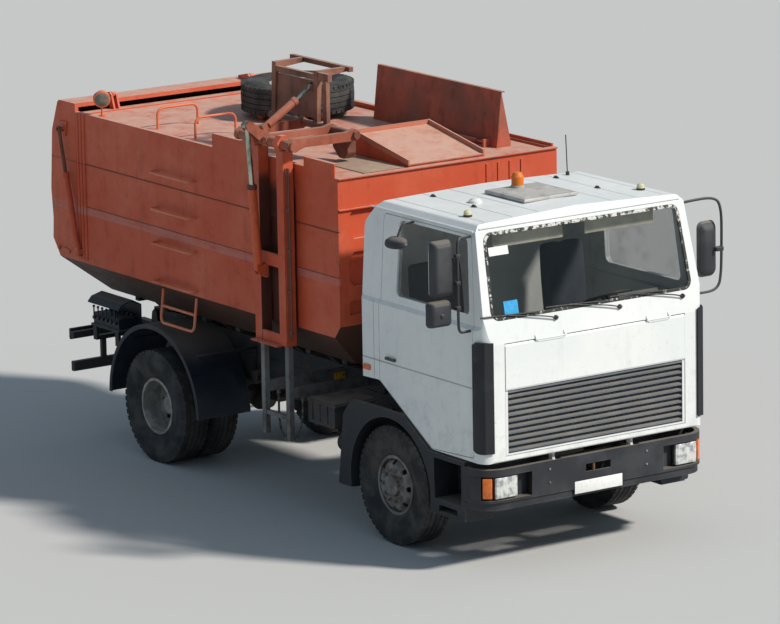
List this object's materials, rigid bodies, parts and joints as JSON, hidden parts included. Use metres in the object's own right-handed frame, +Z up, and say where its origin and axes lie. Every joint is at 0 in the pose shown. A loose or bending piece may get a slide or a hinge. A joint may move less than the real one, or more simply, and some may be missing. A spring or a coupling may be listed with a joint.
{
  "type": "side-loading garbage truck",
  "caption": "Cab-over garbage truck with an orange tipping body, a side loader arm that swings bins over the roof, a top-hinged tailgate and a roof hatch.",
  "frame": {"origin": "on the ground under the middle of the truck's bounding box", "axes": "+X forward, +Y to the truck's left, +Z up"},
  "size_m": [7.1988, 3.3, 3.9938],
  "materials": {
    "cab_paint": "gloss, worn and dusty",
    "orange_paint": "faded, dusty, rust along edges",
    "dark_orange_paint": "faded, dusty",
    "pale_grey_paint": "dusty",
    "grey_paint": "dusty",
    "chassis_paint": "matt, dirty",
    "cast_steel": "rough, dirty",
    "spring_steel": "rusty",
    "rod_steel": "ground",
    "tyre_rubber": "dusty",
    "dark_plastic": "grained, faded",
    "grille_plastic": "grained, dusty",
    "black_rubber": "dull",
    "cab_glass": "clear, slightly green",
    "lamp_plastic": "clear and orange",
    "trim_plastic": "grained",
    "seat_fabric": "woven",
    "seal_steel": "dusty"
  },
  "bodies": {
    "chassis": {"chassis_frame": "chassis_paint", "front_axle_beam": "cast_steel", "rear_axle_housing": "cast_steel", "leaf_springs": "spring_steel", "drivetrain": "cast_steel", "tanks_and_battery_box": "chassis_paint", "front_arches": "dark_plastic", "front_bumper": "grille_plastic", "lamps": "lamp_plastic", "rear_fenders": "chassis_paint", "valve_bank": "chassis_paint"},
    "left_hub": {"left_knuckle": "cast_steel"},
    "right_hub": {"right_knuckle": "cast_steel"},
    "steering_link": {"tie_rod": "cast_steel"},
    "front_left_wheel": {"front_left_tyre": "tyre_rubber", "front_left_rim": "grey_paint"},
    "front_right_wheel": {"front_right_tyre": "tyre_rubber", "front_right_rim": "grey_paint"},
    "rear_left_wheels": {"rear_left_tyres": "tyre_rubber", "rear_left_rims": "pale_grey_paint"},
    "rear_right_wheels": {"rear_right_tyres": "tyre_rubber", "rear_right_rims": "pale_grey_paint"},
    "cab": {"cab_shell": "cab_paint", "windscreen": "cab_glass", "grille_and_vanes": "grille_plastic", "dashboard": "trim_plastic", "seats": "seat_fabric", "cab_roof_fittings": "dark_plastic"},
    "left_door_set": {"left_door": "cab_paint", "left_door_glass": "cab_glass", "left_mirrors": "dark_plastic"},
    "right_door_set": {"right_door": "cab_paint", "right_door_glass": "cab_glass", "right_mirrors": "dark_plastic"},
    "front_panel": {"lift_panel": "cab_paint"},
    "wheel_of_driver": {"steering_wheel": "trim_plastic"},
    "vent": {"roof_vent_and_beacon": "seal_steel"},
    "load_body": {"body_shell": "orange_paint", "body_front": "orange_paint", "body_roof": "orange_paint", "body_subframe": "chassis_paint", "deflector": "orange_paint", "spare_tyre": "tyre_rubber", "spare_rim": "pale_grey_paint", "steps_and_rails": "grey_paint", "mast_guide": "grey_paint", "loader_hose": "black_rubber"},
    "tipping_cylinder": {"tipping_barrel": "dark_orange_paint"},
    "tipping_piston": {"tipping_rod": "rod_steel"},
    "rear_gate": {"tailgate": "orange_paint"},
    "gate_cylinders": {"tailgate_barrels": "orange_paint"},
    "gate_pistons": {"tailgate_rods": "rod_steel"},
    "roof_lid": {"hatch_lid": "dark_orange_paint"},
    "slide_mast": {"mast": "orange_paint"},
    "swing_arm": {"arm": "dark_orange_paint"},
    "bin_gripper": {"gripper": "dark_orange_paint"},
    "lift_cylinder": {"lift_barrel": "orange_paint"},
    "lift_piston": {"lift_rod": "rod_steel"},
    "tilt_cylinder": {"tilt_barrel": "orange_paint"},
    "tilt_piston": {"tilt_rod": "rod_steel"}
  },
  "joints": [
    {"name": "left_steer", "type": "hinge", "parent": "chassis", "child": "left_hub", "pos_m": [2.15, 0.95, 0.545], "axis": [0, 0, 1], "range_deg": [-35, 35]},
    {"name": "right_steer", "type": "hinge", "parent": "chassis", "child": "right_hub", "pos_m": [2.15, -0.95, 0.545], "axis": [0, 0, 1], "range_deg": [-35, 35]},
    {"name": "tie_rod_pivot", "type": "hinge", "parent": "left_hub", "child": "steering_link", "pos_m": [1.94, 0.914, 0.405], "axis": [0, 0, 1], "range_deg": [-37, 37]},
    {"name": "front_left_roll", "type": "hinge", "parent": "left_hub", "child": "front_left_wheel", "pos_m": [2.15, 1.069, 0.545], "axis": [0, 1, 0], "continuous": true},
    {"name": "front_right_roll", "type": "hinge", "parent": "right_hub", "child": "front_right_wheel", "pos_m": [2.15, -1.069, 0.545], "axis": [0, 1, 0], "continuous": true},
    {"name": "rear_left_roll", "type": "hinge", "parent": "chassis", "child": "rear_left_wheels", "pos_m": [-1.8, 0.924, 0.545], "axis": [0, 1, 0], "continuous": true},
    {"name": "rear_right_roll", "type": "hinge", "parent": "chassis", "child": "rear_right_wheels", "pos_m": [-1.8, -0.924, 0.545], "axis": [0, 1, 0], "continuous": true},
    {"name": "cab_tilt", "type": "hinge", "parent": "chassis", "child": "cab", "pos_m": [3.52, 0, 0.9], "axis": [0, 1, 0], "range_deg": [0, 50]},
    {"name": "left_door_hinge", "type": "hinge", "parent": "cab", "child": "left_door_set", "pos_m": [3.432, 1.226, 2], "axis": [0, 0, -1], "range_deg": [0, 70]},
    {"name": "right_door_hinge", "type": "hinge", "parent": "cab", "child": "right_door_set", "pos_m": [3.432, -1.226, 2], "axis": [0, 0, 1], "range_deg": [0, 70]},
    {"name": "front_panel_hinge", "type": "hinge", "parent": "cab", "child": "front_panel", "pos_m": [3.588, 0, 2.056], "axis": [0, -1, 0], "range_deg": [0, 70]},
    {"name": "steering_wheel_turn", "type": "hinge", "parent": "cab", "child": "wheel_of_driver", "pos_m": [2.9, 0.65, 2.09], "axis": [-0.4101, 0, 0.9121], "range_deg": [-540, 540]},
    {"name": "vent_hinge", "type": "hinge", "parent": "cab", "child": "vent", "pos_m": [2.945, 0, 3.127], "axis": [0, 1, 0], "range_deg": [0, 20]},
    {"name": "tip", "type": "hinge", "parent": "chassis", "child": "load_body", "pos_m": [-3, 0, 1.15], "axis": [0, -1, 0], "range_deg": [0, 45]},
    {"name": "tipping_barrel_pivot", "type": "hinge", "parent": "chassis", "child": "tipping_cylinder", "pos_m": [-2.3, 0, 0.85], "axis": [0, -1, 0], "range_deg": [0, 56]},
    {"name": "tipping_stroke", "type": "slide", "parent": "tipping_cylinder", "child": "tipping_piston", "axis": [0.9776, 0, 0.2106], "range_m": [0, 0.525]},
    {"name": "tailgate_hinge", "type": "hinge", "parent": "load_body", "child": "rear_gate", "pos_m": [-3.095, 0, 3.345], "axis": [0, 1, 0], "range_deg": [0, 85]},
    {"name": "gate_barrel_pivot", "type": "hinge", "parent": "load_body", "child": "gate_cylinders", "pos_m": [-3.04, 0, 1.85], "axis": [0, 1, 0], "range_deg": [-0.1, 1.1]},
    {"name": "gate_stroke", "type": "slide", "parent": "gate_cylinders", "child": "gate_pistons", "axis": [-0.2387, 0, 0.9711], "range_m": [0, 0.535]},
    {"name": "hatch_hinge", "type": "hinge", "parent": "load_body", "child": "roof_lid", "pos_m": [1.25, 0.494, 3.228], "axis": [-0.9832, 0, 0.1828], "range_deg": [0, 80]},
    {"name": "mast_slide", "type": "slide", "parent": "load_body", "child": "slide_mast", "axis": [0, 0, -1], "range_m": [0, 0.61]},
    {"name": "arm_swing", "type": "hinge", "parent": "slide_mast", "child": "swing_arm", "pos_m": [0.4, -1.32, 3.45], "axis": [1, 0, 0], "range_deg": [0, 120]},
    {"name": "lift_barrel_pivot", "type": "hinge", "parent": "slide_mast", "child": "lift_cylinder", "pos_m": [0.35, -1.41, 2.25], "axis": [1, 0, 0], "range_deg": [-6.9, 0.1]},
    {"name": "lift_stroke", "type": "slide", "parent": "lift_cylinder", "child": "lift_piston", "axis": [0, -0.0665, 0.9978], "range_m": [-0.387, 0]},
    {"name": "gripper_tilt", "type": "hinge", "parent": "swing_arm", "child": "bin_gripper", "pos_m": [0.15, -0.64, 3.48], "axis": [1, 0, 0], "range_deg": [-45, 0]},
    {"name": "tilt_barrel_pivot", "type": "hinge", "parent": "swing_arm", "child": "tilt_cylinder", "pos_m": [0.13, -1.18, 3.5], "axis": [1, 0, 0], "range_deg": [-15.3, 0.1]},
    {"name": "tilt_stroke", "type": "slide", "parent": "tilt_cylinder", "child": "tilt_piston", "axis": [0, 0.8489, 0.5286], "range_m": [0, 0.195]}
  ],
  "couplings": [
    {"joint": "right_steer", "follows": "left_steer", "ratio": 1},
    {"joint": "tie_rod_pivot", "follows": "left_steer", "ratio": -1.0367},
    {"joint": "steering_wheel_turn", "follows": "left_steer", "ratio": 15},
    {"joint": "tipping_barrel_pivot", "follows": "tip", "ratio": 1.2145},
    {"joint": "tipping_stroke", "follows": "tip", "m_per_rad": 0.66172},
    {"joint": "gate_barrel_pivot", "follows": "tailgate_hinge", "ratio": 0.010845},
    {"joint": "gate_stroke", "follows": "tailgate_hinge", "m_per_rad": 0.35759},
    {"joint": "mast_slide", "follows": "arm_swing", "m_per_rad": 0.28648},
    {"joint": "lift_barrel_pivot", "follows": "arm_swing", "ratio": -0.056443},
    {"joint": "lift_stroke", "follows": "arm_swing", "m_per_rad": -0.18267},
    {"joint": "tilt_barrel_pivot", "follows": "gripper_tilt", "ratio": 0.33733},
    {"joint": "tilt_stroke", "follows": "gripper_tilt", "m_per_rad": -0.24263}
  ]
}
